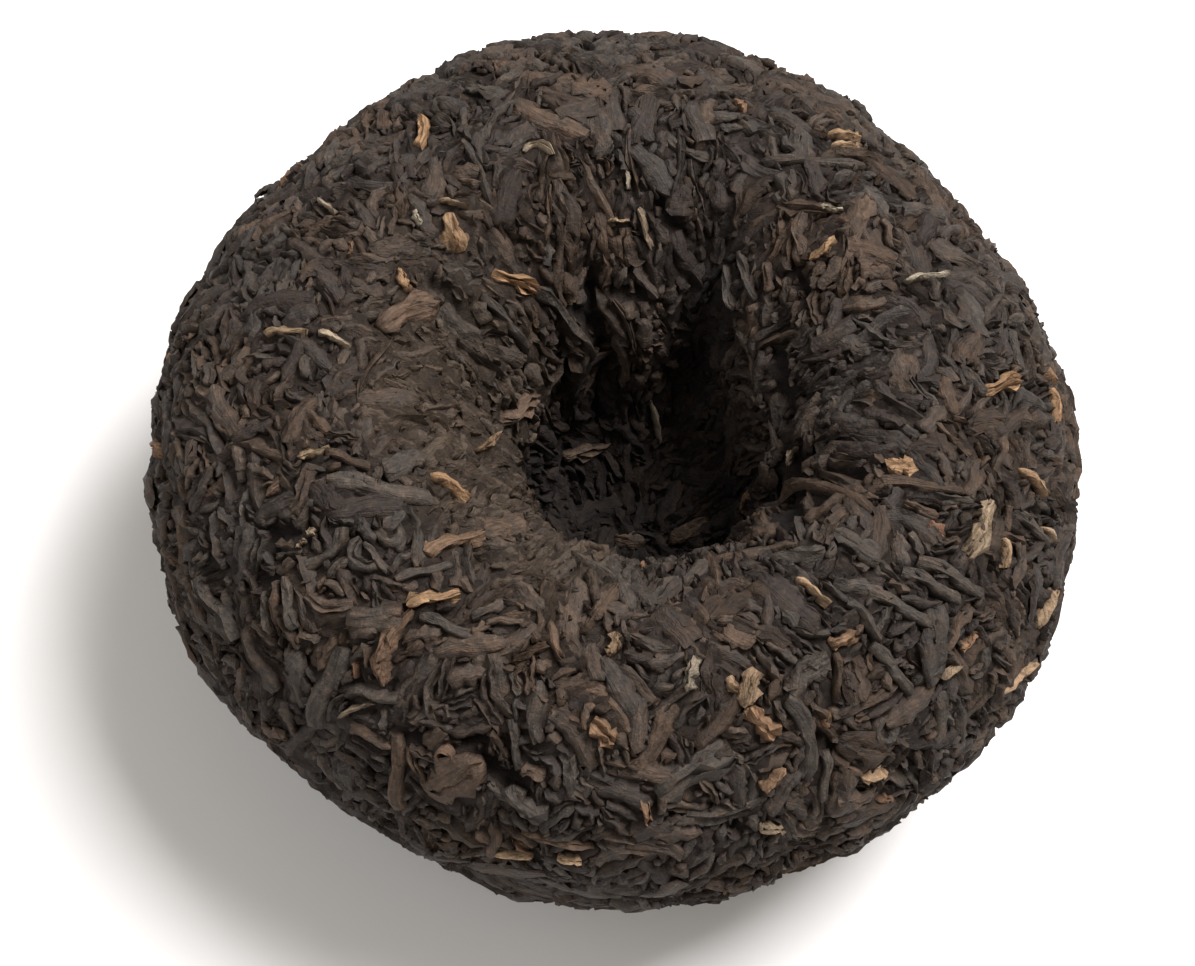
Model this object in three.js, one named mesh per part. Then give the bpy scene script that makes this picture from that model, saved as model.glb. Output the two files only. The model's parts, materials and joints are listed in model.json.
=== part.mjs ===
// A bowl-shaped cake of pressed dark tea leaf, lying on its dome with its deep hollow upwards.
// Millimetres, +Z up, origin on the ground below the middle of the cake.

import * as THREE from "three";
import { ConvexHull } from "three/addons/math/ConvexHull.js";

const { clamp, degToRad, lerp, seededRandom, smoothstep } = THREE.MathUtils;

// The cake's outline, from the ground up and then down into the hollow
const cakeDiameter = 81; // of the mean surface: the leaves stand a little proud of it
const cakeHeight = 42.5;
const restDiameter = 18; // flat spot on the dome, on which the cake lies
const girthHeight = 25; // height of the widest ring
const crestDiameter = 51; // the rim's highest ring
const throatDiameter = 22; // the hollow where its wall stands upright
const throatHeight = 26.5;
const floorHeight = 12; // bottom of the hollow
const bulge = 1.9; // 2 would make every stretch of the outline a quarter ellipse
const hollowShift = new THREE.Vector2(2.4, -2.6); // the hollow sits off centre

// Unevenness left by the cloth bag that the cake was pressed in
const swells = [
  { waves: 1, rise: 0.6, azimuth: 270 },
  { waves: 3, rise: 0.6, azimuth: -24 },
  { waves: 4, rise: 0.55, azimuth: 10 }, // the slightly square outline
  { waves: 7, rise: 0.2, azimuth: 20 },
];
const pleats = [
  { waves: 11, rise: 0.45, azimuth: 4 },
  { waves: 17, rise: 0.3, azimuth: 9 },
];
const creases = [
  { azimuth: -4, width: 2.4, depth: 2.4 }, // width and depth at the throat
  { azimuth: 76, width: 4.5, depth: 4 },
  { azimuth: 118, width: 1.8, depth: 1.2 },
  { azimuth: 138, width: 1.8, depth: 1.6 },
];

// The leaves that show, laid from the longest to the smallest
const leafKinds = [
  { count: 150, tries: 6000, length: [8, 11.5], width: [2, 2.7], stations: 4 },
  { count: 200, tries: 16000, length: [5, 8], width: [1.8, 2.5], stations: 3 },
  { count: 180, tries: 30000, length: [3, 4.6], width: [1.6, 2.2], stations: 2 },
];
const leafDiscs = [-0.42, -0.21, 0, 0.21, 0.42]; // shares of a leaf's length where it keeps others off
const ridgeRise = [0.35, 0.7]; // a leaf's middle above the mean surface
const ridgeShare = [0.85, 1]; // of that rise, from station to station
const grooveDepth = 0.45; // the gaps between leaves below it
const grooveShare = [0.5, 1]; // of that depth, along a leaf's sides
const floorRoughness = 1.2;
const closestPoints = 0.7;
const ringSpacing = 2.4; // of points on the resting spot and the hollow's floor
const radialSpread = 24; // degrees that leaves in the hollow turn away from pointing into it
const pressedFade = 3; // distance from the resting spot over which the unevenness comes in
const restMargin = 1; // from the resting spot to the nearest leaf
const leafSeed = 41;

const leafMaterial = new THREE.MeshStandardMaterial({
  color: 0x3d352f,
  roughness: 0.82,
  metalness: 0,
});

const restRadius = restDiameter / 2;
const throatRadius = throatDiameter / 2;
const floorRadius = throatRadius / 2; // inside it the hollow's floor has no whole leaves
const widestLeaf = Math.max(...leafKinds.map((kind) => kind.width[1]));

// A quarter of a superellipse between two points of the outline. It leaves the first point level or upright,
// and reaches the second the other way.
class QuarterCurve extends THREE.Curve {
  constructor(start, end, leavesLevel) {
    super();
    this.start = start;
    this.end = end;
    this.leavesLevel = leavesLevel;
  }

  getPoint(t, target = new THREE.Vector2()) {
    const angle = (t * Math.PI) / 2;
    const early = Math.sin(angle) ** (2 / bulge);
    const late = 1 - Math.cos(angle) ** (2 / bulge);
    return target.set(
      lerp(this.start.x, this.end.x, this.leavesLevel ? early : late),
      lerp(this.start.y, this.end.y, this.leavesLevel ? late : early),
    );
  }
}

// The outline as radius and height, by distance along it
const centre = new THREE.Vector2(0, 0);
const restEdge = new THREE.Vector2(restRadius, 0);
const girth = new THREE.Vector2(cakeDiameter / 2, girthHeight);
const crest = new THREE.Vector2(crestDiameter / 2, cakeHeight);
const throat = new THREE.Vector2(throatRadius, throatHeight);
const hollowFloor = new THREE.Vector2(0, floorHeight);

const outline = new THREE.CurvePath();
outline.add(new THREE.LineCurve(centre, restEdge));
outline.add(new QuarterCurve(restEdge, girth, true));
outline.add(new QuarterCurve(girth, crest, false));
outline.add(new QuarterCurve(crest, throat, true));
outline.add(new QuarterCurve(throat, hollowFloor, false));

const [restEnd, girthAt, crestAt, throatAt, outlineLength] = outline.getCurveLengths();
const floorAt = outlineLength - floorRadius;

// The outline in even steps, each with its latitude on a map of the cake onto a ball that keeps angles, and
// with the area below it, by which leaves are spread evenly
const outlineSteps = 900;
const stepLength = outlineLength / outlineSteps;
const smallestRadius = 0.2;

function tabulateOutline() {
  const points = outline.getSpacedPoints(outlineSteps);
  const latitude = [0];
  const area = [0];
  for (let i = 1; i <= outlineSteps; i++) {
    const radius = Math.max((points[i].x + points[i - 1].x) / 2, smallestRadius);
    latitude.push(latitude[i - 1] + stepLength / radius);
    area.push(area[i - 1] + stepLength * radius);
  }
  return { points, latitude, area };
}

const table = tabulateOutline();
const girthStep = Math.round(girthAt / stepLength);
const ballEquator = table.latitude[girthStep];

function tableStep(distance) {
  const place = clamp(distance / stepLength, 0, outlineSteps);
  const step = Math.min(Math.floor(place), outlineSteps - 1);
  return { step, share: place - step };
}

function latitudeAt(distance) {
  const { step, share } = tableStep(distance);
  return lerp(table.latitude[step], table.latitude[step + 1], share) - ballEquator;
}

function outlineAt(distance) {
  const { step, share } = tableStep(distance);
  const point = table.points[step].clone().lerp(table.points[step + 1], share);
  const along = table.points[step + 1].clone().sub(table.points[step]).normalize();
  return { radius: point.x, height: point.y, normal: new THREE.Vector2(along.y, -along.x) };
}

// How far the cake stands out from its outline before any leaf is laid

const sumOfWaves = (waves, azimuth) =>
  waves.reduce((sum, w) => sum + w.rise * Math.cos(w.waves * (azimuth - degToRad(w.azimuth))), 0);

function creaseDepth(azimuth, radius) {
  return creases.reduce((sum, crease) => {
    const turn = azimuth - degToRad(crease.azimuth);
    const across = 2 * Math.sin(turn / 2) * radius;
    const inside = Math.exp(-(((2 * across) / crease.width) ** 2));
    return sum + crease.depth * inside;
  }, 0);
}

function unevenness(distance, azimuth, radius) {
  const inHollow = smoothstep(distance, crestAt, throatAt);
  const towardsFloor = 1 - smoothstep(distance, throatAt, outlineLength);
  const outside = sumOfWaves(swells, azimuth) * (1 - smoothstep(distance, girthAt, crestAt));
  const folds = sumOfWaves(pleats, azimuth) - creaseDepth(azimuth, radius);
  return outside + folds * inHollow * towardsFloor;
}

// A point of the surface, from its distance along the outline, its azimuth and the relief that raises it
function cakePoint(distance, azimuth, relief) {
  const { radius, height, normal } = outlineAt(distance);
  const pressed = smoothstep(distance, restEnd, restEnd + pressedFade);
  const rise = pressed * (relief + unevenness(distance, azimuth, radius));
  const inHollow = smoothstep(distance, crestAt, throatAt);
  const reach = radius + rise * normal.x;
  return new THREE.Vector3(
    reach * Math.cos(azimuth) + hollowShift.x * inHollow,
    reach * Math.sin(azimuth) + hollowShift.y * inHollow,
    Math.max(0, height + rise * normal.y),
  );
}

function ballPoint(distance, azimuth) {
  const latitude = latitudeAt(distance);
  const reach = 1 / Math.cosh(latitude);
  return new THREE.Vector3(reach * Math.cos(azimuth), reach * Math.sin(azimuth), Math.tanh(latitude));
}

// Points already placed, sorted into cubes so that near ones are found quickly
class PointGrid {
  constructor(cell) {
    this.cell = cell;
    this.cubes = new Map();
  }

  cubeOf(value) {
    return Math.floor(value / this.cell);
  }

  add(point, reach) {
    const key = [point.x, point.y, point.z].map((value) => this.cubeOf(value)).join();
    if (!this.cubes.has(key)) this.cubes.set(key, []);
    this.cubes.get(key).push({ point, reach });
  }

  isClear(point, reach) {
    const [x, y, z] = [point.x, point.y, point.z].map((value) => this.cubeOf(value));
    for (let i = x - 1; i <= x + 1; i++)
      for (let j = y - 1; j <= y + 1; j++)
        for (let k = z - 1; k <= z + 1; k++)
          for (const other of this.cubes.get([i, j, k].join()) ?? [])
            if (other.point.distanceTo(point) < reach + other.reach) return false;
    return true;
  }
}

const random = () => seededRandom();
const between = ([low, high]) => lerp(low, high, random());

// Leaves: each is a row of stations with a raised middle and two low sides, and a low tip at both ends

function pickPlace() {
  const wanted = random() * table.area[outlineSteps];
  const step = table.area.findIndex((area) => area >= wanted);
  return { distance: step * stepLength, azimuth: random() * 2 * Math.PI };
}

function leafDirection(distance) {
  const radial = smoothstep(distance, crestAt, throatAt);
  const spread = lerp(Math.PI / 2, degToRad(radialSpread), radial);
  return spread * (2 * random() - 1);
}

// Walks from a leaf's middle, along it and across it, to a place on the cake
function stepFrom(leaf, along, across) {
  const distance = leaf.distance + along * Math.cos(leaf.turn) - across * Math.sin(leaf.turn);
  const round = along * Math.sin(leaf.turn) + across * Math.cos(leaf.turn);
  return { distance, azimuth: leaf.azimuth + round / outlineAt(distance).radius };
}

const isOnLeafyPart = (distance) => distance > restEnd + restMargin && distance < floorAt;

function drawLeaf(kind) {
  const place = pickPlace();
  return {
    ...place,
    turn: leafDirection(place.distance),
    length: between(kind.length),
    width: between(kind.width),
    rise: between(ridgeRise),
    stations: kind.stations,
  };
}

// The places of a leaf's stations along its length, without the tips
function stationsOf(leaf) {
  const gap = leaf.length / (leaf.stations + 1);
  return Array.from({ length: leaf.stations }, (_, i) => (i + 1) * gap - leaf.length / 2);
}

function layLeaves() {
  const middles = new PointGrid(widestLeaf);
  const leaves = [];
  for (const kind of leafKinds) {
    let laid = 0;
    for (let attempt = 0; attempt < kind.tries && laid < kind.count; attempt++) {
      const leaf = drawLeaf(kind);
      const tips = [-leaf.length / 2, leaf.length / 2].map((along) => stepFrom(leaf, along, 0));
      if (!tips.every((tip) => isOnLeafyPart(tip.distance))) continue;
      const discs = leafDiscs.map((share) => {
        const { distance, azimuth } = stepFrom(leaf, share * leaf.length, 0);
        return cakePoint(distance, azimuth, 0);
      });
      if (!discs.every((disc) => middles.isClear(disc, leaf.width / 2))) continue;
      discs.forEach((disc) => middles.add(disc, leaf.width / 2));
      leaves.push(leaf);
      laid++;
    }
  }
  return leaves;
}

// The surface as points, each with its place on the cake and on the ball
class Surface {
  constructor() {
    this.points = [];
    this.grid = new PointGrid(closestPoints);
  }

  add(distance, azimuth, relief) {
    const onCake = cakePoint(distance, azimuth, relief);
    const onMean = cakePoint(distance, azimuth, 0);
    if (!this.grid.isClear(onMean, closestPoints / 2)) return;
    this.grid.add(onMean, closestPoints / 2);
    this.points.push({ onCake, onBall: ballPoint(distance, azimuth) });
  }

  addLeafRidge(leaf) {
    for (const along of stationsOf(leaf)) {
      const { distance, azimuth } = stepFrom(leaf, along, 0);
      this.add(distance, azimuth, leaf.rise * between(ridgeShare));
    }
  }

  addLeafEdge(leaf) {
    for (const end of [-1, 1]) {
      const { distance, azimuth } = stepFrom(leaf, (end * leaf.length) / 2, 0);
      this.add(distance, azimuth, -grooveDepth * random());
    }
    for (const along of stationsOf(leaf)) {
      for (const side of [-1, 1]) {
        const { distance, azimuth } = stepFrom(leaf, along, (side * leaf.width) / 2);
        this.add(distance, azimuth, -grooveDepth * between(grooveShare));
      }
    }
  }

  // Rings of points over a stretch of the outline, pushed in at random by up to a depth
  addRings(from, to, depth) {
    const rings = Math.round((to - from) / ringSpacing);
    for (let ring = 0; ring <= rings; ring++) {
      const distance = lerp(from, to, ring / rings);
      const around = Math.max(1, Math.round((2 * Math.PI * outlineAt(distance).radius) / ringSpacing));
      const offset = (ring % 2) / 2; // every second ring is set between the points of the first
      for (let i = 0; i < around; i++) {
        this.add(distance, ((i + offset) / around) * 2 * Math.PI, -depth * random());
      }
    }
  }

  // Points on a ball are joined by its convex hull in the way that spreads their triangles best
  toGeometry() {
    const order = new Map(this.points.map(({ onBall }, i) => [onBall, i]));
    const hull = new ConvexHull().setFromPoints(this.points.map(({ onBall }) => onBall));
    const index = hull.faces.flatMap(({ edge }) =>
      [edge, edge.next, edge.prev].map((side) => order.get(side.head().point)),
    );
    const geometry = new THREE.BufferGeometry().setFromPoints(this.points.map(({ onCake }) => onCake));
    geometry.setIndex(index);
    geometry.computeVertexNormals();
    return geometry;
  }
}

function makeCake() {
  seededRandom(leafSeed);
  const leaves = layLeaves();
  const surface = new Surface();
  surface.addRings(0, restEnd, 0);
  leaves.forEach((leaf) => surface.addLeafRidge(leaf));
  leaves.forEach((leaf) => surface.addLeafEdge(leaf));
  surface.addRings(floorAt, outlineLength, floorRoughness);
  const cake = new THREE.Mesh(surface.toGeometry(), leafMaterial);
  cake.name = "tea_cake";
  return cake;
}

const part = new THREE.Group();
part.add(makeCake());

export default part;
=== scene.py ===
# A bowl-shaped cake of pressed tea: strips of dark leaf packed side by side over a core, with golden
# tips, stems and red-brown leaf among them, and crumbs down in the gaps.
import json
import math

import bpy
import numpy as np
from mathutils import Matrix, Vector
from mathutils.bvhtree import BVHTree

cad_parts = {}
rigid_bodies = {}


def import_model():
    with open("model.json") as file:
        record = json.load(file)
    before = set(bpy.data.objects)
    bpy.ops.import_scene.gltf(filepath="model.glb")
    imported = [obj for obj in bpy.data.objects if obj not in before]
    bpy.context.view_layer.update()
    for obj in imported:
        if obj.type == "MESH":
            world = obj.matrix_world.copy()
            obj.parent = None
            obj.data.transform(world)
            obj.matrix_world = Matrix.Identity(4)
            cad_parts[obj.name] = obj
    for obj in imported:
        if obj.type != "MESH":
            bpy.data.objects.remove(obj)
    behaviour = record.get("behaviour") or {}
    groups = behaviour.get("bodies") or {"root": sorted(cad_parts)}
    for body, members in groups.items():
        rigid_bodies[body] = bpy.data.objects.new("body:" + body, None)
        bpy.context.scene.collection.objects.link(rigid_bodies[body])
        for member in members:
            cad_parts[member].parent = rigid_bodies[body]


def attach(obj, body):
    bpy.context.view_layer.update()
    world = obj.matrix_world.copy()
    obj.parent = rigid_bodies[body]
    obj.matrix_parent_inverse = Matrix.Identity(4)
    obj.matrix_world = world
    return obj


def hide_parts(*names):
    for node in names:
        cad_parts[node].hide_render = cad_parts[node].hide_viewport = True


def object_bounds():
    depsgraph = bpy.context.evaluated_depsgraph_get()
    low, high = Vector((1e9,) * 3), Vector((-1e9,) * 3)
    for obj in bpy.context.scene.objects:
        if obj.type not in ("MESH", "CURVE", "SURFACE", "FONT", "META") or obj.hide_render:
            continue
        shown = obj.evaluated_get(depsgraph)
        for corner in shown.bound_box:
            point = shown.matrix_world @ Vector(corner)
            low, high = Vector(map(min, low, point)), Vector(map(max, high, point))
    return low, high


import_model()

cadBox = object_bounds()
mm = 0.001
scene = bpy.context.scene
body = "root"
cakeNode = "tea_cake"

# The cake's outline and unevenness, in millimetres and degrees, as the solid has them
cake = {
    "diameter": 81.0,
    "height": 42.5,
    "restDiameter": 18.0,
    "girthHeight": 25.0,
    "crestDiameter": 51.0,
    "throatDiameter": 22.0,
    "throatHeight": 26.5,
    "floorHeight": 12.0,
    "bulge": 1.9,
    "hollowShift": (2.4, -2.6),
    "pressedFade": 3.0,
    "swells": [(1, 0.6, 270), (3, 0.6, -24), (4, 0.55, 10), (7, 0.2, 20)],  # waves, rise, azimuth
    "pleats": [(11, 0.45, 4), (17, 0.3, 9)],
    "creases": [(-4, 2.4, 2.4), (76, 4.5, 4.0), (118, 1.8, 1.2), (138, 1.8, 1.6)],  # azimuth, width, depth
    "step": 0.05,  # between points of the outline table
    "curvePoints": 400,
}


def smoothStep(low, high, value):
    share = np.clip((value - low) / (high - low), 0, 1)
    return share * share * (3 - 2 * share)


def quarterCurve(start, end, leavesLevel):
    angle = np.linspace(0, math.pi / 2, cake["curvePoints"])
    early = np.sin(angle) ** (2 / cake["bulge"])
    late = 1 - np.cos(angle) ** (2 / cake["bulge"])
    across, up = (early, late) if leavesLevel else (late, early)
    return np.column_stack((start[0] + (end[0] - start[0]) * across, start[1] + (end[1] - start[1]) * up))


def outlineTable():
    restEdge = (cake["restDiameter"] / 2, 0)
    girth = (cake["diameter"] / 2, cake["girthHeight"])
    crest = (cake["crestDiameter"] / 2, cake["height"])
    throat = (cake["throatDiameter"] / 2, cake["throatHeight"])
    stretches = [
        np.array([(0, 0), restEdge]),
        quarterCurve(restEdge, girth, True),
        quarterCurve(girth, crest, False),
        quarterCurve(crest, throat, True),
        quarterCurve(throat, (0, cake["floorHeight"]), False),
    ]
    points = np.vstack([stretches[0]] + [stretch[1:] for stretch in stretches[1:]])
    walked = np.concatenate(([0], np.cumsum(np.hypot(*np.diff(points, axis=0).T))))
    ends = np.cumsum([len(stretch) - (i > 0) for i, stretch in enumerate(stretches)]) - 1
    distance = np.arange(0, walked[-1], cake["step"])
    radius = np.interp(distance, walked, points[:, 0])
    height = np.interp(distance, walked, points[:, 1])
    slope = np.column_stack((np.gradient(radius), np.gradient(height)))
    slope /= np.linalg.norm(slope, axis=1)[:, None]
    return {"distance": distance, "radius": radius, "height": height, "slope": slope, "ends": walked[ends]}


outline = outlineTable()
restEnd, girthAt, crestAt, throatAt, floorAt = outline["ends"]


def readOutline(distance, column):
    return np.interp(distance, outline["distance"], column)


def waveSum(waves, azimuth):
    return sum(rise * np.cos(count * (azimuth - math.radians(start))) for count, rise, start in waves)


def hollowShare(distance):
    return smoothStep(crestAt, throatAt, distance) * (1 - smoothStep(throatAt, floorAt, distance))


def creaseDepth(distance, azimuth):
    radius = readOutline(distance, outline["radius"])
    total = 0
    for start, width, depth in cake["creases"]:
        across = 2 * np.sin((azimuth - math.radians(start)) / 2) * radius
        total = total + depth * np.exp(-((2 * across / width) ** 2))
    return total * hollowShare(distance)


def unevenness(distance, azimuth):
    outside = waveSum(cake["swells"], azimuth) * (1 - smoothStep(girthAt, crestAt, distance))
    pleats = waveSum(cake["pleats"], azimuth) * hollowShare(distance)
    return outside + pleats - creaseDepth(distance, azimuth)


def cakePoint(distance, azimuth, relief):
    # A point of the surface in millimetres, raised by a relief along the outline's normal
    radius = readOutline(distance, outline["radius"])
    height = readOutline(distance, outline["height"])
    normalOut = readOutline(distance, outline["slope"][:, 1])
    normalUp = -readOutline(distance, outline["slope"][:, 0])
    pressed = smoothStep(restEnd, restEnd + cake["pressedFade"], distance)
    rise = relief + pressed * unevenness(distance, azimuth)
    inHollow = smoothStep(crestAt, throatAt, distance)
    reach = radius + rise * normalOut
    x = reach * np.cos(azimuth) + cake["hollowShift"][0] * inHollow
    y = reach * np.sin(azimuth) + cake["hollowShift"][1] * inHollow
    return np.stack((x, y, height + rise * normalUp), axis=-1)


# Soft random patterns: a sum of waves in random directions
def wavePattern(points, size, seed, waves=24, lengthSpread=(0.7, 1.5)):
    rng = np.random.default_rng(seed)
    directions = rng.normal(size=(waves, 3))
    directions /= np.linalg.norm(directions, axis=1)[:, None]
    lengths = size * rng.uniform(*lengthSpread, waves)
    phases = rng.uniform(0, 2 * math.pi, waves)
    total = np.zeros(points.shape[:-1])
    for direction, length, phase in zip(directions, lengths, phases):
        total += np.cos(points @ direction * (2 * math.pi / length) + phase)
    return total * math.sqrt(2 / waves)


def linkObject(name, data):
    made = bpy.data.objects.new(name, data)
    scene.collection.objects.link(made)
    return made


def cakeGrid(rowGap, columns, pointAt):
    # Rings of points from the resting spot over the rim to the floor of the hollow, closed at both ends
    distance = np.linspace(0, floorAt, int(floorAt / rowGap))[1:-1]
    azimuth = np.linspace(0, 2 * math.pi, columns, endpoint=False)
    places = np.stack(np.meshgrid(distance, azimuth, indexing="ij"), axis=-1).reshape(-1, 2)
    points = pointAt(places[:, 0], places[:, 1])
    start = pointAt(np.zeros(1), np.zeros(1))
    end = pointAt(np.full(1, floorAt), np.zeros(1))
    rows = len(distance)
    around = np.arange(columns)
    nextAround = np.roll(around, -1)
    faces = []
    for row in range(rows - 1):
        low, high = row * columns, (row + 1) * columns
        faces += np.column_stack((low + around, low + nextAround, high + nextAround, high + around)).tolist()
    last = (rows - 1) * columns
    first, final = len(points), len(points) + 1
    faces += np.column_stack((nextAround, around, np.full(columns, first))).tolist()
    faces += np.column_stack((last + around, last + nextAround, np.full(columns, final))).tolist()
    everyPoint = np.vstack((points, start, end))
    return everyPoint, faces, places


def meshFrom(name, points, faces):
    mesh = bpy.data.meshes.new(name)
    mesh.from_pydata((points * mm).tolist(), [], faces)
    mesh.validate()
    mesh.shade_smooth()
    return mesh


# The bed: the cake's mean surface with low clumps, on which every leaf is laid. It is removed at the end.
bedGrid = {"rowGap": 0.6, "columns": 240}
clumps = {"size": 6.0, "rise": 0.22, "seed": 9}


def bedPoint(distance, azimuth, relief=0):
    rise = clumps["rise"] * wavePattern(cakePoint(distance, azimuth, 0), clumps["size"], clumps["seed"])
    rise *= smoothStep(restEnd, restEnd + cake["pressedFade"], distance)
    return cakePoint(distance, azimuth, relief + rise)


bedPoints, bedFaces, bedPlaces = cakeGrid(bedGrid["rowGap"], bedGrid["columns"], bedPoint)
leafBed = linkObject("leaf_bed", meshFrom("leaf_bed", bedPoints, bedFaces))
bedTree = BVHTree.FromPolygons((bedPoints * mm).tolist(), bedFaces)
print("leaf bed:", len(bedFaces), "faces")

# The camera, at the photograph's viewing angle: steep from the front, with the image turned a little
view = {
    "elevation": 63.65,
    "roll": 11.67,
    "distance": 260.0,
    "focalPixels": 2864.0,
    "imageSize": (1195, 966),
    "target": (0.0, -0.6, 21.5),
    "targetPixel": (614.4, 474.1),
    "sensorWidth": 36.0,
    "clipStart": 0.01,  # in metres
    "drawInwards": 0.01,  # step by which a pixel off the edge is drawn towards the target
}


def viewAxes():
    tilt, roll = math.radians(view["elevation"]), math.radians(view["roll"])
    back = Vector((0, -math.cos(tilt), math.sin(tilt)))
    up = Vector((0, math.sin(tilt), math.cos(tilt)))
    right = Vector((1, 0, 0))
    rolledRight = right * math.cos(roll) + up * math.sin(roll)
    rolledUp = up * math.cos(roll) - right * math.sin(roll)
    return rolledRight, rolledUp, back


viewRight, viewUp, viewBack = viewAxes()
imageCentre = (view["imageSize"][0] / 2, view["imageSize"][1] / 2)
pixelSize = view["distance"] / view["focalPixels"]  # millimetres a pixel covers at the target
aim = (Vector(view["target"])
       - viewRight * (view["targetPixel"][0] - imageCentre[0]) * pixelSize
       - viewUp * (imageCentre[1] - view["targetPixel"][1]) * pixelSize)
eye = (aim + viewBack * view["distance"]) * mm


def addCamera():
    data = bpy.data.cameras.new("camera")
    data.sensor_width = view["sensorWidth"]
    data.lens = view["focalPixels"] / view["imageSize"][0] * view["sensorWidth"]
    data.clip_start = view["clipStart"]
    camera = linkObject("camera", data)
    turned = Matrix((viewRight, viewUp, viewBack)).transposed().to_4x4()
    camera.matrix_world = Matrix.Translation(eye) @ turned
    scene.camera = camera


addCamera()


def placeAtPixel(pixel):
    # The point of the bed that a pixel of the photograph shows, and its distance and azimuth
    # A pixel just off the edge is drawn inwards until it meets the cake.
    hit = None
    inwards = 1.0
    while hit is None:
        right, down = (view["targetPixel"][i] + (pixel[i] - view["targetPixel"][i]) * inwards for i in (0, 1))
        ray = viewRight * (right - imageCentre[0]) + viewUp * (imageCentre[1] - down)
        ray -= viewBack * view["focalPixels"]
        hit, _, face, _ = bedTree.ray_cast(eye, ray.normalized())
        inwards -= view["drawInwards"]
    point = np.array(hit) / mm
    distance = bedPlaces[min(face, len(bedPlaces) - 1)][0] + bedGrid["rowGap"] / 2
    shift = np.array(cake["hollowShift"]) * smoothStep(crestAt, throatAt, distance)
    return point, distance, math.atan2(point[1] - shift[1], point[0] - shift[0])


# Gaps that are black in the photograph: pixels of the two ends, and width in millimetres
gaps = {
    "rightCrease": ((799, 463), (782, 517), 4.0),
    "rightCreaseEnd": ((861, 473), (814, 469), 1.2),
    "rightUnder": ((768, 500), (824, 504), 1.7),
    "rightWall": ((780, 356), (793, 464), 2.6),
    "rightWallTop": ((793, 268), (809, 294), 1.3),
    "farWall": ((660, 202), (683, 233), 1.2),
    "farWallIn": ((655, 301), (616, 292), 1.2),
    "leftRidge": ((595, 327), (572, 307), 1.6),
    "leftRidgeTop": ((591, 284), (591, 307), 1.5),
    "leftRidgeLow": ((532, 373), (514, 363), 1.0),
    "leftCrevice": ((430, 275), (482, 328), 1.3),
    "leftWall": ((510, 451), (491, 457), 1.2),
    "leftRim": ((305, 529), (268, 533), 1.5),
    "leftRimLow": ((276, 583), (257, 573), 1.2),
    "leftRimIn": ((266, 542), (278, 560), 1.0),
    "leftSide": ((307, 662), (277, 643), 1.0),
    "nearDark": ((518, 786), (480, 759), 1.6),
    "nearDarkTop": ((488, 737), (464, 743), 1.4),
    "nearLeft": ((385, 778), (372, 770), 1.3),
    "nearRing": ((423, 738), (407, 735), 1.1),
    "nearRight": ((835, 747), (815, 737), 1.1),
    "nearLow": ((737, 824), (747, 839), 0.9),
}
# In a gap, leaves and core are sunk, and their tone is lowered as painted shade
gapLook = {"sink": 1.2, "paintedGapShadeLoss": 2.0, "bare": 0.4}  # no leaf lies where the gap's share is above bare
gapLines = [(placeAtPixel(start)[0], placeAtPixel(end)[0], width) for start, end, width in gaps.values()]


def gapShare(points):
    share = np.zeros(len(points))
    for start, end, width in gapLines:
        run = end - start
        along = np.clip((points - start) @ run / (run @ run), 0, 1)
        away = np.linalg.norm(points - start - along[:, None] * run, axis=1)
        share = np.maximum(share, np.exp(-((2 * away / width) ** 2)))
    return share


# Leaf shapes. A look gives a family its bends and edges, and the furrows along its back.
shapeCount = 24
stripLook = {
    "rings": 8,
    "lines": 6,
    "slim": (0.26, 0.5),  # width of a leaf as a share of its run
    "curl": (0.0, 0.7),  # whole turn along the run, in radians
    "sway": 0.2,
    "ends": (0.5, 1.0),  # width left at the ends
    "blunt": 6.0,
    "notch": 0.15,  # how unevenly the width changes along the run
    "endDrop": 0.3,
    "roundness": 2.2,
    "furrows": 2,
    "furrowDepth": (0.15, 0.5),
    "furrowWidth": 0.13,
    "furrowPlace": 0.35,  # farthest from the middle, in widths
    "furrowSlant": 0.4,
    "wrinkle": 0.12,
    "backHeights": (0.3, 1.3),  # lowest and highest of a wrinkled back
    "ragged": 0.06,
    "keel": -0.3,  # the line below, in heights of the back
}
hookLook = dict(stripLook, slim=(0.22, 0.34), curl=(1.2, 3.2), sway=0.15, ends=(0.4, 0.9))
needleLook = dict(stripLook, slim=(0.12, 0.2), curl=(0.0, 0.4), sway=0.15, ends=(0.35, 0.8), furrows=1)
fibreLook = dict(stripLook, lines=8, ends=(0.15, 0.75), blunt=4.0, notch=0.25, roundness=3.5, furrows=4,
                 furrowDepth=(0.2, 0.5), furrowWidth=0.08, ragged=0.14)
ringLook = dict(hookLook, rings=12, lines=4, slim=(0.15, 0.19), curl=(5.3, 5.8), sway=0.05,
                ends=(0.8, 1.0), furrows=0)
flakeLook = dict(stripLook, lines=8, slim=(0.4, 0.85), curl=(0.0, 0.6), ends=(0.4, 0.95), notch=0.2,
                 roundness=2.6, furrows=4, furrowDepth=(0.1, 0.35), furrowWidth=0.07, wrinkle=0.2,
                 ragged=0.08)
bitLook = dict(stripLook, rings=5, lines=5, slim=(0.35, 0.8), curl=(0.0, 0.8), ends=(0.45, 1.0), notch=0.18,
               roundness=2.8, furrows=1, furrowWidth=0.2, wrinkle=0.17, ragged=0.1)
crumbLook = dict(bitLook, rings=4, lines=3, slim=(0.45, 0.9), furrows=0, wrinkle=0.25, ragged=0.16)


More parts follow.
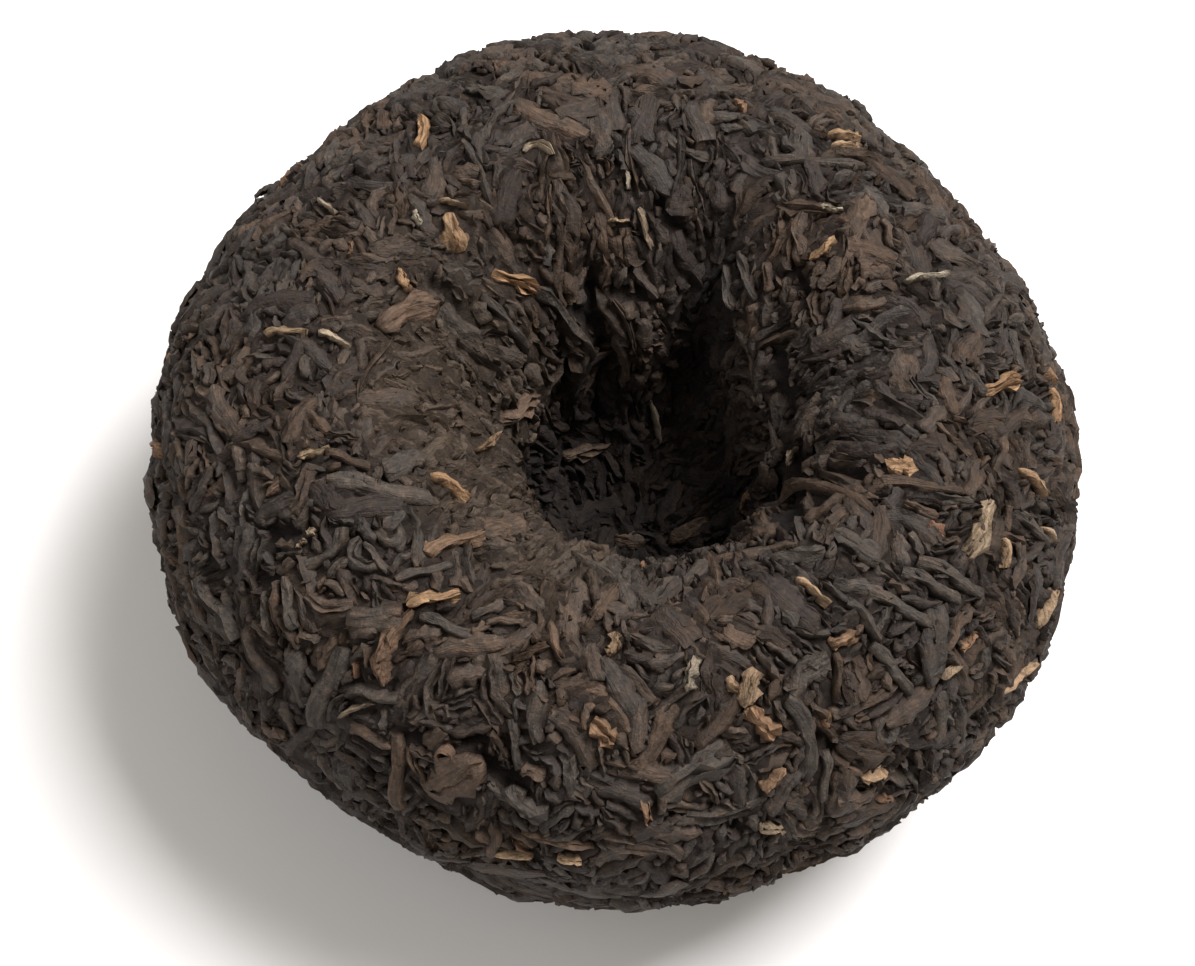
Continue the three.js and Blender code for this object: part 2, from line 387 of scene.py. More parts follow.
def leafShape(name, rng, look):
    rings, lines = look["rings"], look["lines"]
    run = np.linspace(0, 1, rings)
    heading = rng.choice((-1, 1)) * rng.uniform(*look["curl"]) * (run - 0.5)
    heading += look["sway"] * np.sin(2 * math.pi * (run + rng.uniform()))
    ahead = np.column_stack((np.cos(heading), np.sin(heading)))
    aside = np.column_stack((-ahead[:, 1], ahead[:, 0]))
    middle = np.vstack((np.zeros(2), np.cumsum((ahead[1:] + ahead[:-1]) / 2, axis=0))) / (rings - 1)
    endShare = np.abs(2 * run - 1) ** look["blunt"]
    width = 1 - endShare * (1 - np.where(run < 0.5, *rng.uniform(*look["ends"], 2)))
    width *= rng.uniform(*look["slim"]) * (1 + rng.normal(0, look["notch"], rings))
    across = np.linspace(-0.5, 0.5, lines)
    back = 1 - np.abs(2 * across) ** look["roundness"]
    heights = 1 + np.cumsum(rng.normal(0, look["wrinkle"], (rings, lines)), axis=0)
    for _ in range(look["furrows"]):
        place, slant = look["furrowPlace"], look["furrowSlant"]
        furrow = rng.uniform(-place, place) + rng.uniform(-slant, slant) * (run - 0.5)
        offset = (across - furrow[:, None]) / look["furrowWidth"]
        heights -= rng.uniform(*look["furrowDepth"]) * np.exp(-offset**2)
    heights = back * np.clip(heights, *look["backHeights"]) * (1 - look["endDrop"] * endShare)[:, None]
    sideways = (across + rng.normal(0, look["ragged"], (rings, lines))) * width[:, None]
    tops = np.dstack((middle[:, None] + aside[:, None] * sideways[..., None], heights))
    under = np.column_stack((middle, np.full(rings, look["keel"])))
    points = np.concatenate((tops, under[:, None]), axis=1)
    low, high = points[..., :2].min((0, 1)), points[..., :2].max((0, 1))
    points[..., :2] = (points[..., :2] - (low + high) / 2) / (high - low)
    places = np.zeros_like(points)  # along and across the leaf, in lengths of its box
    places[..., 0] = (run[:, None] - 0.5) / (high - low)[0]
    places[:, :lines, 1] = sideways / (high - low)[0]
    mesh = shapeMesh(name, points, places)
    cover = points[:, :lines, :2]
    cover = np.concatenate((cover, (cover[1:] + cover[:-1]) / 2)).reshape(-1, 2)
    return mesh, (high - low)[1] / (high - low)[0], cover


def setAttribute(mesh, name, kind, values):
    field = "vector" if kind == "FLOAT_VECTOR" else "value"
    number = np.int32 if kind == "INT" else np.float32
    mesh.attributes.new(name, kind, "POINT").data.foreach_set(field, values.astype(number).ravel())


def shapeMesh(name, points, places):
    rings, sides = points.shape[:2]
    faces = [tuple(range(sides)), tuple((rings - 1) * sides + i for i in reversed(range(sides)))]
    for ring in range(rings - 1):
        low, high = ring * sides, (ring + 1) * sides
        for i in range(sides):
            j = (i + 1) % sides
            faces.append((low + i, high + i, high + j, low + j))
    mesh = bpy.data.meshes.new(name)
    mesh.from_pydata(points.reshape(-1, 3).tolist(), [], faces)
    setAttribute(mesh, "leafHeight", "FLOAT", points[..., 2])
    setAttribute(mesh, "leafPlace", "FLOAT_VECTOR", places)
    return mesh


def leafFamily(name, look, seed):
    rng = np.random.default_rng(seed)
    shapes = bpy.data.collections.new(name)
    made = [leafShape(f"{name}_{i:02d}", rng, look) for i in range(shapeCount)]
    for mesh, _, _ in made:
        shapes.objects.link(bpy.data.objects.new(mesh.name, mesh))
    _, aspects, covers = zip(*made)
    return {"shapes": shapes, "aspect": np.array(aspects), "cover": np.array(covers)}


familyLooks = {  # look and seed
    "strip": (stripLook, 31),
    "hook": (hookLook, 32),
    "fibre": (fibreLook, 38),
    "ring": (ringLook, 37),
    "needle": (needleLook, 33),
    "flake": (flakeLook, 34),
    "bit": (bitLook, 35),
    "crumb": (crumbLook, 36),
}
families = {name: leafFamily(name, look, seed) for name, (look, seed) in familyLooks.items()}
print("leaf shapes:", shapeCount, "for each of", len(families), "families")

# Where leaves may lie: the bed is cut into cells, and each kind is packed into cells that are still free
packing = {
    "cell": 0.3,
    "footprint": 0.72,  # share of a leaf's size that keeps others off
    "standingFootprint": 1.05,
    "widthSpread": (0.85, 1.2),
    "fewestCells": 6,  # in a ring
    "funnelStart": 3.0,  # before the crest
    "funnelFull": 0.6,  # of the way from the crest to the throat
    "combedFade": (4, 10),  # past the throat
    "probe": (0.3, 0.01),  # steps along the outline, and around in radians, that show which way each runs
    "leastRing": 1.0,  # radius below which a step sideways turns no faster
    "poleRest": 16.0,  # nearer than this to either end of the outline the surface is taken as flat
    "poleFloor": 8.0,
}
rowTotal = int(math.ceil(floorAt / packing["cell"]))
rowRadius = readOutline((np.arange(rowTotal) + 0.5) * packing["cell"], outline["radius"])
rowCells = np.round(2 * math.pi * rowRadius / packing["cell"])
rowCells = np.maximum(packing["fewestCells"], rowCells).astype(int)
rowStart = np.concatenate(([0], np.cumsum(rowCells)))
cellRow = np.repeat(np.arange(rowTotal), rowCells)
cellDistance = (cellRow + 0.5) * packing["cell"]
cellAzimuth = (np.arange(rowStart[-1]) - rowStart[cellRow] + 0.5) / rowCells[cellRow] * 2 * math.pi
taken = gapShare(cakePoint(cellDistance, cellAzimuth, 0)) > gapLook["bare"]


def cellOf(distance, azimuth):
    row = np.clip((distance / packing["cell"]).astype(int), 0, rowTotal - 1)
    turn = np.mod(azimuth, 2 * math.pi) / (2 * math.pi)
    return rowStart[row] + np.minimum((turn * rowCells[row]).astype(int), rowCells[row] - 1)


def placeOfCell(cell, rng):
    row = np.searchsorted(rowStart, cell, side="right") - 1
    distance = (row + rng.uniform(0, 1, len(cell))) * packing["cell"]
    azimuth = (cell - rowStart[row] + rng.uniform(0, 1, len(cell))) / rowCells[row] * 2 * math.pi
    return distance, azimuth


def walkFrom(distance, azimuth, turn, along, across):
    # Where a walk over the surface ends; near the two ends of the outline it goes by plane polar steps
    forward = along * np.cos(turn) - across * np.sin(turn)
    sideways = along * np.sin(turn) + across * np.cos(turn)
    far = distance + forward
    ring = np.maximum(readOutline(far, outline["radius"]), packing["leastRing"])
    farAzimuth = azimuth + sideways / ring
    for pole, reach, sign in ((0, packing["poleRest"], 1), (floorAt, packing["poleFloor"], -1)):
        out = np.abs(distance - pole)
        x = out + sign * forward
        near = np.broadcast_to(out < reach, far.shape)
        far = np.where(near, pole + sign * np.hypot(x, sideways), far)
        farAzimuth = np.where(near, azimuth + np.arctan2(sideways, x), farAzimuth)
    return far, farAzimuth


def inFunnel(distance):
    full = crestAt + packing["funnelFull"] * (throatAt - crestAt)
    return smoothStep(crestAt - packing["funnelStart"], full, distance)


# The left and near walls of the hollow are rubbed smooth, and dusty with fine leaf whose lighter brown is
# partly painted light
dust = {
    "azimuth": 212,
    "edge": (80, 32),  # degrees to either side, where it begins and where it is full
    "start": 0.1,  # of the way from the crest to the throat
    "soft": 4.0,
    "fade": (0.0, 4.5),  # past the throat
}


def dustAndPaintedLightOn(distance, azimuth):
    aside = np.cos(azimuth - math.radians(dust["azimuth"]))
    around = smoothStep(*(math.cos(math.radians(edge)) for edge in dust["edge"]), aside)
    begin = crestAt + dust["start"] * (throatAt - crestAt)
    fadeStart, fadeEnd = (throatAt + past for past in dust["fade"])
    down = smoothStep(begin - dust["soft"], begin + dust["soft"], distance)
    return around * (down * (1 - smoothStep(fadeStart, fadeEnd, distance)))


# Bundles of leaf lie every way on the rim, point into the hollow, and lie along the edge lower down outside.
# A swing is how far a bundle turns from that, in radians, and a pull how strongly a place sets the way.
bundles = {
    "size": 11.0,  # leaves lie alike over about this distance
    "seed": 5,
    "rimSwing": 1.7,
    "funnelSwing": 0.22,
    "outsideSwing": 0.55,
    "funnelPull": 1.4,
    "outsidePull": 1.2,
    "outsideFade": (-12, 10),  # from the widest ring
    "turnSpread": 0.42,  # of single leaves
}


def leafTurn(distance, azimuth, rng):
    bundle = wavePattern(cakePoint(distance, azimuth, 0), bundles["size"], bundles["seed"])
    funnel = inFunnel(distance)
    fadeStart, fadeEnd = (girthAt + past for past in bundles["outsideFade"])
    outside = 1 - smoothStep(fadeStart, fadeEnd, distance)
    ways = [
        (1 - np.maximum(funnel, outside), bundles["rimSwing"] * bundle),
        (bundles["funnelPull"] * funnel, bundles["funnelSwing"] * bundle),
        (bundles["outsidePull"] * outside, math.pi / 2 + bundles["outsideSwing"] * bundle),
    ]
    x = sum(weight * np.cos(2 * turn) for weight, turn in ways)
    y = sum(weight * np.sin(2 * turn) for weight, turn in ways)
    return np.arctan2(y, x) / 2 + rng.normal(0, bundles["turnSpread"], len(distance))


def footprint(leaves, family, share):
    cover = family["cover"][leaves["shape"]] * share
    column = {key: leaves[key][:, None] for key in ("distance", "azimuth", "turn", "length", "width")}
    far, farAzimuth = walkFrom(column["distance"], column["azimuth"], column["turn"],
                               cover[..., 0] * column["length"], -cover[..., 1] * column["width"])
    return cellOf(np.clip(far, 0, floorAt), farAzimuth)


def shareOf(kind, distance, azimuth):
    # How readily a kind is found at a place
    share = 1 - kind.get("dustLoss", 0) * dustAndPaintedLightOn(distance, azimuth)
    share = share * (1 - kind["creaseLoss"] * np.minimum(creaseDepth(distance, azimuth), 1))
    if kind.get("funnelOnly"):
        fadeStart, fadeEnd = (throatAt + past for past in packing["combedFade"])
        share = share * inFunnel(distance) * (1 - smoothStep(fadeStart, fadeEnd, distance))
    return share


def packKind(kind):
    # Leaves of one kind, tried at free places, each kept if it covers little that is taken
    rng = np.random.default_rng(kind["seed"])
    family = families[kind["family"]]
    layer = standingCells.copy() if kind.get("onTop") else taken
    kept = []
    for _ in range(kind["rounds"]):
        free = np.flatnonzero(~layer)
        cells = rng.choice(free, min(kind["tries"], len(free)), replace=False)
        distance, azimuth = placeOfCell(cells, rng)
        count = len(cells)
        tried = {
            "distance": distance,
            "azimuth": azimuth,
            "turn": leafTurn(distance, azimuth, rng),
            "length": rng.uniform(*kind["length"], count),
            "shape": rng.integers(0, shapeCount, count),
        }
        width = tried["length"] * family["aspect"][tried["shape"]]
        width = width * rng.uniform(*packing["widthSpread"], count)
        tried["width"] = np.minimum(width, kind["widest"])
        likely = rng.uniform(0, 1, count) < shareOf(kind, distance, azimuth)
        prints = footprint(tried, family, packing["footprint"])
        for i in np.flatnonzero(likely):
            if layer[prints[i]].mean() <= kind["overlap"]:
                layer[prints[i]] = True
                kept.append({key: value[i] for key, value in tried.items()})
    return {key: np.array([leaf[key] for leaf in kept]) for key in kept[0]}


def leavesAtPixels(spots, family):
    # Leaves that stand where the photograph shows them, from the pixels of their two ends
    leaves = []
    for each in spots:
        (start, _, _), (end, _, _) = (placeAtPixel(pixel) for pixel in each["ends"])
        _, distance, azimuth = placeAtPixel(np.mean(each["ends"], axis=0))
        step, swing = packing["probe"]
        forward = cakePoint(distance + step, azimuth, 0) - cakePoint(distance - step, azimuth, 0)
        sideways = cakePoint(distance, azimuth + swing, 0) - cakePoint(distance, azimuth - swing, 0)
        along = end - start
        length = np.linalg.norm(along)
        leaves.append({
            "distance": distance,
            "azimuth": azimuth,
            "turn": math.atan2(along @ sideways / np.linalg.norm(sideways),
                               along @ forward / np.linalg.norm(forward)),
            "length": length,
            "width": each["width"],
            "shape": np.argmin(np.abs(family["aspect"] - each["width"] / length)),
            "tone": each["tone"],
            "dust": each["dust"],
        })
    found = {key: np.array([leaf[key] for leaf in leaves]) for key in leaves[0]}
    for covered in footprint(found, family, packing["standingFootprint"]):
        taken[covered] = True
    return found


# One node with its settings, and with values or links for its inputs. A node that is given as an input is
# linked by the first of its outputs in use.
def addNode(tree, kind, inputs=None, **settings):
    node = tree.nodes.new(kind)
    for key, value in settings.items():
        setattr(node, key, value)
    for socket, value in (inputs or {}).items():
        if isinstance(value, bpy.types.Node):
            value = next(output for output in value.outputs if output.enabled)
        if isinstance(value, bpy.types.NodeSocket):
            tree.links.new(value, node.inputs[socket])
        else:
            node.inputs[socket].default_value = value
    return node


laying = {
    "pressEase": 0.4,  # how softly the backs of leaves are pressed level
    "boxEase": 0.3,  # how softly leaves are kept inside the cake's box
    "step": 0.2,
    "creaseAngle": 80,  # sharper folds of a leaf show as edges
    "crumpleDetail": 3.0,
    "crumpleRoughness": 0.65,
}
layingInputs = {
    "Leaf Places": "Geometry",
    "Leaf Shapes": "Collection",
    "Leaf Bed": "Object",
    "Press Level": "Float",
    "Crumple Depth": "Float",
    "Crumple Size": "Float",
    "Leaf Material": "Material",
}
layingAttributes = {  # what the laying of a leaf reads, from its place and its shape
    "leafNormal": "FLOAT_VECTOR",
    "leafAlong": "FLOAT_VECTOR",
    "leafSize": "FLOAT_VECTOR",
    "leafLean": "FLOAT_VECTOR",
    "leafLift": "FLOAT",
    "leafTone": "FLOAT",
    "leafShape": "INT",
    "leafHeight": "FLOAT",
    "leafPlace": "FLOAT_VECTOR",
}
shownAttributes = ("leafTone", "leafWarmth", "leafDust", "leafHeight", "leafPlace", "leafLength")


def leafLayingTree():
    # Lays a shape at each point, bends it to the bed, presses its back level and crumples it a little
    tree = bpy.data.node_groups.new("leaf laying", "GeometryNodeTree")
    for name, kind in layingInputs.items():
        tree.interface.new_socket(name, in_out="INPUT", socket_type=f"NodeSocket{kind}")
    tree.interface.new_socket("Leaves", in_out="OUTPUT", socket_type="NodeSocketGeometry")
    given = addNode(tree, "NodeGroupInput").outputs
    leaf = {name: addNode(tree, "GeometryNodeInputNamedAttribute", {"Name": name}, data_type=kind)
            for name, kind in layingAttributes.items()}
    turn = addNode(tree, "FunctionNodeAxesToRotation",
                   {"Primary Axis": leaf["leafNormal"], "Secondary Axis": leaf["leafAlong"]},
                   primary_axis="Z", secondary_axis="X")
    shapes = addNode(tree, "GeometryNodeCollectionInfo",
                     {"Collection": given["Leaf Shapes"], "Separate Children": True, "Reset Children": True})
    laid = addNode(tree, "GeometryNodeInstanceOnPoints", {
        "Points": given["Leaf Places"],
        "Instance": shapes,
        "Pick Instance": True,
        "Instance Index": leaf["leafShape"],
        "Rotation": turn,
        "Scale": leaf["leafSize"],
    })
    real = addNode(tree, "GeometryNodeRealizeInstances", {"Geometry": laid})

    # Each point is put back on the plane of its leaf, carried to the bed below, and raised again
    size = addNode(tree, "ShaderNodeSeparateXYZ", {"Vector": leaf["leafSize"]}).outputs
    rise = addNode(tree, "ShaderNodeMath", {0: leaf["leafHeight"], 1: size["Z"]}, operation="MULTIPLY")
    lean = addNode(tree, "ShaderNodeVectorMath", {0: leaf["leafPlace"], 1: leaf["leafLean"]},
                   operation="DOT_PRODUCT")
    leant = addNode(tree, "ShaderNodeMath", {0: rise, 1: lean}, operation="ADD")
    lifted = addNode(tree, "ShaderNodeMath", {0: leant, 1: leaf["leafLift"]}, operation="ADD")
    pressed = addNode(tree, "ShaderNodeMath",
                      {0: lifted, 1: given["Press Level"], 2: laying["pressEase"] * mm},
                      operation="SMOOTH_MIN")
    position = addNode(tree, "GeometryNodeInputPosition")
    above = addNode(tree, "ShaderNodeVectorMath", {0: leaf["leafNormal"], "Scale": rise}, operation="SCALE")
    below = addNode(tree, "ShaderNodeVectorMath", {0: position, 1: above}, operation="SUBTRACT")
    bed = addNode(tree, "GeometryNodeObjectInfo", {"Object": given["Leaf Bed"]}).outputs["Geometry"]
    bedNormal = addNode(tree, "GeometryNodeInputNormal")
    foot, upwards = (
        addNode(tree, "GeometryNodeSampleNearestSurface",
                {"Mesh": bed, "Value": value, "Sample Position": below}, data_type="FLOAT_VECTOR")
        for value in (position, bedNormal))
    raised = addNode(tree, "ShaderNodeVectorMath", {0: upwards, "Scale": pressed}, operation="SCALE")
    onBed = addNode(tree, "ShaderNodeVectorMath", {0: foot, 1: raised}, operation="ADD")

    # A noise of the crumple's size, shifted for each leaf so that neighbours crumple differently
    perSize = addNode(tree, "ShaderNodeMath", {0: 1.0, 1: given["Crumple Size"]}, operation="DIVIDE")
    scaled = addNode(tree, "ShaderNodeVectorMath", {0: position, "Scale": perSize}, operation="SCALE")
    ownShift = addNode(tree, "ShaderNodeVectorMath", {0: leaf["leafAlong"], "Scale": leaf["leafTone"]},
                       operation="SCALE")
    noiseAt = addNode(tree, "ShaderNodeVectorMath", {0: scaled, 1: ownShift}, operation="ADD")
    noise = addNode(tree, "ShaderNodeTexNoise", {
        "Vector": noiseAt,
        "Scale": 1.0,
        "Detail": laying["crumpleDetail"],
        "Roughness": laying["crumpleRoughness"],
    })
    centred = addNode(tree, "ShaderNodeVectorMath", {0: noise.outputs["Color"], 1: (0.5, 0.5, 0.5)},
                      operation="SUBTRACT")
    crumple = addNode(tree, "ShaderNodeVectorMath", {0: centred, "Scale": given["Crumple Depth"]},
                      operation="SCALE")
    crumpled = addNode(tree, "ShaderNodeVectorMath", {0: onBed, 1: crumple}, operation="ADD")
    moved = addNode(tree, "GeometryNodeSetPosition", {"Geometry": real, "Position": crumpled})
    finish = addNode(tree, "GeometryNodeSetMaterial", {"Geometry": moved, "Material": given["Leaf Material"]})
    addNode(tree, "NodeGroupOutput", {"Leaves": finish})
    return tree


def setInputs(modifier, values):
    identifiers = {item.name: item.identifier for item in modifier.node_group.interface.items_tree
                   if item.in_out == "INPUT"}
    for name, value in values.items():
        modifier[identifiers[name]] = value


def leafPlaces(name, leaves):
    # A mesh of bare points, one for each leaf, that carries how each one lies
    place = cakePoint(leaves["distance"], leaves["azimuth"], 0)
    start = (leaves["distance"], leaves["azimuth"], leaves["turn"])
    step, still = np.full(len(place), laying["step"]), np.zeros(len(place))
    ahead = cakePoint(*walkFrom(*start, step, still), 0) - place
    aside = cakePoint(*walkFrom(*start, still, step), 0) - place
    normal = np.cross(aside, ahead)
    for direction in (ahead, normal):
        direction /= np.linalg.norm(direction, axis=1)[:, None]
    mesh = bpy.data.meshes.new(name)
    mesh.from_pydata((place * mm).tolist(), [], [])
    carried = {
        "leafNormal": normal,
        "leafAlong": ahead,
        "leafSize": np.column_stack((leaves["length"], leaves["width"], leaves["thickness"])) * mm,
        "leafLean": leaves["lean"] * mm,
        "leafLift": leaves["lift"] * mm,
        "leafLength": leaves["length"],
        "leafTone": leaves["tone"],
        "leafWarmth": leaves["warmth"],
        "leafDust": leaves["dust"],
        "leafShape": leaves["shape"],
    }
    for key, values in carried.items():
        setAttribute(mesh, key, layingAttributes.get(key, "FLOAT"), values)
    return linkObject(name, mesh)


layingTree = leafLayingTree()


def layLeaves(name, leaves, family, kind, material):
    piece = leafPlaces(name, leaves)
    modifier = piece.modifiers.new("leaf laying", "NODES")
    modifier.node_group = layingTree
    crumpleDepth, crumpleSize = kind["crumple"]
    setInputs(modifier, {
        "Leaf Shapes": family["shapes"],
        "Leaf Bed": leafBed,
        "Press Level": kind["press"] * mm,
        "Crumple Depth": crumpleDepth * mm,
        "Crumple Size": crumpleSize * mm,
        "Leaf Material": material,
    })
    return plainMesh(piece, modifier)


def easedInto(points):
    # Points near the sides of the cake's box are eased inside it, so leaves lie level where the cake rests
    ease = laying["boxEase"] * mm
    low, high = np.array(cadBox[0]), np.array(cadBox[1])
    points = high - ease * np.logaddexp(0, (high - points) / ease)
    return low + ease * np.logaddexp(0, (points - low) / ease)


def plainMesh(piece, modifier):
    bpy.context.view_layer.update()
    evaluated = piece.evaluated_get(bpy.context.evaluated_depsgraph_get())
    mesh = bpy.data.meshes.new_from_object(evaluated)
    piece.modifiers.remove(modifier)
    piece.data = mesh
    for name in layingAttributes:
        if name not in shownAttributes:
            mesh.attributes.remove(mesh.attributes[name])
    points = np.empty(len(mesh.vertices) * 3, np.float32)
    mesh.vertices.foreach_get("co", points)
    points = easedInto(points.reshape(-1, 3).astype(float))
    mesh.vertices.foreach_set("co", points.astype(np.float32).ravel())
    mesh.shade_smooth()
    mesh.set_sharp_from_angle(angle=math.radians(laying["creaseAngle"]))
    print(piece.name, sum(len(face.vertices) - 2 for face in mesh.polygons), "triangles")
    return piece


# Materials
def toLinear(hexColour):
    channels = [int(hexColour[i:i + 2], 16) / 255 for i in (1, 3, 5)]
    return tuple(c / 12.92 if c <= 0.04045 else ((c + 0.055) / 1.055) ** 2.4 for c in channels) + (1.0,)


def setRamp(node, stops):
    elements = node.color_ramp.elements
    elements.remove(elements[1])
    elements[0].position = stops[0][0]
    elements[0].color = toLinear(stops[0][1])
    for at, colour in stops[1:]:
        elements.new(at).color = toLinear(colour)


def newMaterial(name):
    material = bpy.data.materials.new(name)
    material.use_nodes = True
    material.node_tree.nodes.clear()
    return material, material.node_tree


# Fermented tea leaf, rolled, dried and pressed: nearly black-brown with grey bloom on the pressed backs,
# wrinkled along each strip, with a dull waxy gleam. In the hollow a brown dust of broken leaf covers it,
# partly painted light.
darkLeaf = {
    "tones": [(0.0, "#15110f"), (0.05, "#1b1613"), (0.2, "#261f1b"), (0.4, "#2c2622"), (0.6, "#302b27"),
              (0.8, "#35302b"), (1.0, "#3d3731")],
    "warmTones": [(0.0, "#15110f"), (0.05, "#201812"), (0.4, "#35291f"), (0.75, "#423429"), (1.0, "#4f3e31")],
    # dust colour, lighter brown: partly real dust and partly painted light on the lit walls of the hollow
    "dustAndPaintedLightColour": "#43382d",
    "speckColour": "#5c5248",
    "speckSize": 0.5,
    "specks": (-0.7, 0.5),  # of pale specks, from none to most
    # painted gap shade: the dark colour that the low sides of each leaf go down to
    "paintedGapShade": "#2a2019",
    "wrinkle": (2.4, 0.24),  # length and width of a wrinkle
    "mottleSize": 0.9,
    "gritSize": 0.25,
    "tintSize": 1.8,
    "tint": (-0.4, 0.5),  # brownness added in patches of that size
    "mottle": (0.64, 1.36),
    "streak": (0.76, 1.27),
    "dusting": (0.3, 1.2),  # how unevenly dust lies
    "roughness": (0.5, 0.85),
    "deepRoughness": 1.0,  # of leaf down in the gaps, which no cloth has pressed
    "deepTone": 0.35,  # leaf of a darker tone than this grows rougher
    "backRange": (-0.1, 0.65),  # heights over which a leaf clears the painted gap shade
    "gleam": 0.18,
    "bumpDepth": 0.33,
    "wrinkleBump": 0.75,
    "gritBump": 0.3,
    "ownShift": 60.0,  # moves the wrinkles of each leaf by its tone, so that no two are alike
    "noiseRange": (0.3, 0.7),  # where nearly all of a noise lies
    "wrinkleNoise": {"Detail": 3.0, "Roughness": 0.6, "Distortion": 0.4},
    "patchNoise": {"Detail": 4.0, "Roughness": 0.65},
}
# Unopened buds and stems, which stay golden or straw-coloured: fine fibres along them, and less gleam
goldenBud = dict(
    darkLeaf,
    tones=[(0.0, "#5f4738"), (0.35, "#8b6c4e"), (0.65, "#84735e"), (1.0, "#8c8272")],
    warmTones=[(0.0, "#503b2d"), (1.0, "#7d6349")],
    # painted gap shade of the golden pieces
    paintedGapShade="#3d3026",
    speckColour="#8a7c66",
    wrinkle=(2.4, 0.22),
    roughness=(0.6, 0.9),
    mottle=(0.68, 1.32),
    streak=(0.55, 1.42),
)


def leafMaterial(name, look):
    material, tree = newMaterial(name)
    leaf = {key: addNode(tree, "ShaderNodeAttribute", attribute_name=key).outputs for key in shownAttributes}
    tone, warmness, dustAndPaintedLight, height = (
        leaf[key]["Fac"] for key in ("leafTone", "leafWarmth", "leafDust", "leafHeight"))

    # Wrinkles follow each leaf, and the other patterns lie over the whole cake
    along = addNode(tree, "ShaderNodeVectorMath",
                    {0: leaf["leafPlace"]["Vector"], "Scale": leaf["leafLength"]["Fac"]}, operation="SCALE")
    own = addNode(tree, "ShaderNodeVectorMath", {0: leaf["leafTone"]["Vector"], "Scale": look["ownShift"]},
                  operation="SCALE")
    length, width = look["wrinkle"]
    wrinkleAt = addNode(tree, "ShaderNodeMapping",
                        {"Vector": along, "Location": own, "Scale": (1 / length, 1 / width, 1 / width)})
    wrinkle = addNode(tree, "ShaderNodeTexNoise",
                      {"Vector": wrinkleAt, "Scale": 1.0} | look["wrinkleNoise"])
    coordinates = addNode(tree, "ShaderNodeTexCoord").outputs["Object"]
    mottle, grit, tint, specks = (
        addNode(tree, "ShaderNodeTexNoise",
                {"Vector": coordinates, "Scale": 1 / (look[size] * mm)} | look["patchNoise"])
        for size in ("mottleSize", "gritSize", "tintSize", "speckSize"))
    noises = {"tint": tint, "dusting": grit, "specks": specks, "mottle": mottle, "streak": wrinkle,
              "roughness": mottle}
    spread = {}
    for key, noise in noises.items():
        sockets = dict(zip(("From Min", "From Max", "To Min", "To Max"), look["noiseRange"] + look[key]))
        spread[key] = addNode(tree, "ShaderNodeMapRange", {"Value": noise} | sockets)

    # Over the plain tone come brown tint, dust that is partly painted light, and pale specks, each by its own
    # share
    plain, warm = (addNode(tree, "ShaderNodeValToRGB", {"Fac": tone}) for _ in range(2))
    setRamp(plain, look["tones"])
    setRamp(warm, look["warmTones"])
    warmShare = addNode(tree, "ShaderNodeMath", {0: warmness, 1: spread["tint"]}, operation="ADD")
    dustAndPaintedLightShare = addNode(tree, "ShaderNodeMath", {0: dustAndPaintedLight, 1: spread["dusting"]}, operation="MULTIPLY")
    speckShare = addNode(tree, "ShaderNodeMath", {0: spread["specks"], 1: tone}, operation="MULTIPLY")
    colour = plain
    for share, over in ((warmShare, warm), (dustAndPaintedLightShare, toLinear(look["dustAndPaintedLightColour"])),
                        (speckShare, toLinear(look["speckColour"]))):
        colour = addNode(tree, "ShaderNodeMix", {"Factor": share, 6: colour, 7: over}, data_type="RGBA")
    shade = addNode(tree, "ShaderNodeMath", {0: spread["mottle"], 1: spread["streak"]}, operation="MULTIPLY")
    shaded = addNode(tree, "ShaderNodeVectorMath", {0: colour, "Scale": shade}, operation="SCALE")

    # The sides of a leaf go down to a painted gap shade, unless the dust, partly painted light, fills it
    raised = addNode(tree, "ShaderNodeMath", {0: height, 1: dustAndPaintedLight}, operation="ADD")
    gapEnd, backStart = look["backRange"]
    back = addNode(tree, "ShaderNodeMapRange", {"Value": raised, "From Min": gapEnd, "From Max": backStart})
    base = addNode(tree, "ShaderNodeMix", {"Factor": back, 6: toLinear(look["paintedGapShade"]), 7: shaded},
                   data_type="RGBA")
    deep = addNode(tree, "ShaderNodeMapRange", {
        "Value": tone,
        "From Max": look["deepTone"],
        "To Min": look["deepRoughness"],
        "To Max": 0.0,
    })
    rough = addNode(tree, "ShaderNodeMath", {0: spread["roughness"], 1: deep}, operation="MAXIMUM")
    wrinkled = addNode(tree, "ShaderNodeMath", {0: wrinkle, 1: look["wrinkleBump"]}, operation="MULTIPLY")
    gritty = addNode(tree, "ShaderNodeMath", {0: grit, 1: look["gritBump"]}, operation="MULTIPLY")
    uneven = addNode(tree, "ShaderNodeMath", {0: gritty, 1: mottle}, operation="ADD")
    grain = addNode(tree, "ShaderNodeMath", {0: wrinkled, 1: uneven}, operation="ADD")
    bump = addNode(tree, "ShaderNodeBump",
                   {"Height": grain, "Distance": look["bumpDepth"] * mm, "Strength": 1.0})
    shader = addNode(tree, "ShaderNodeBsdfPrincipled", {
        "Base Color": base,
        "Roughness": rough,
        "Specular IOR Level": look["gleam"],
        "Normal": bump,
    })
    addNode(tree, "ShaderNodeOutputMaterial", {"Surface": shader})
    return material


pressedLeaf = leafMaterial("pressed dark tea leaf", darkLeaf)
goldenLeaf = leafMaterial("dry golden tea bud", goldenBud)

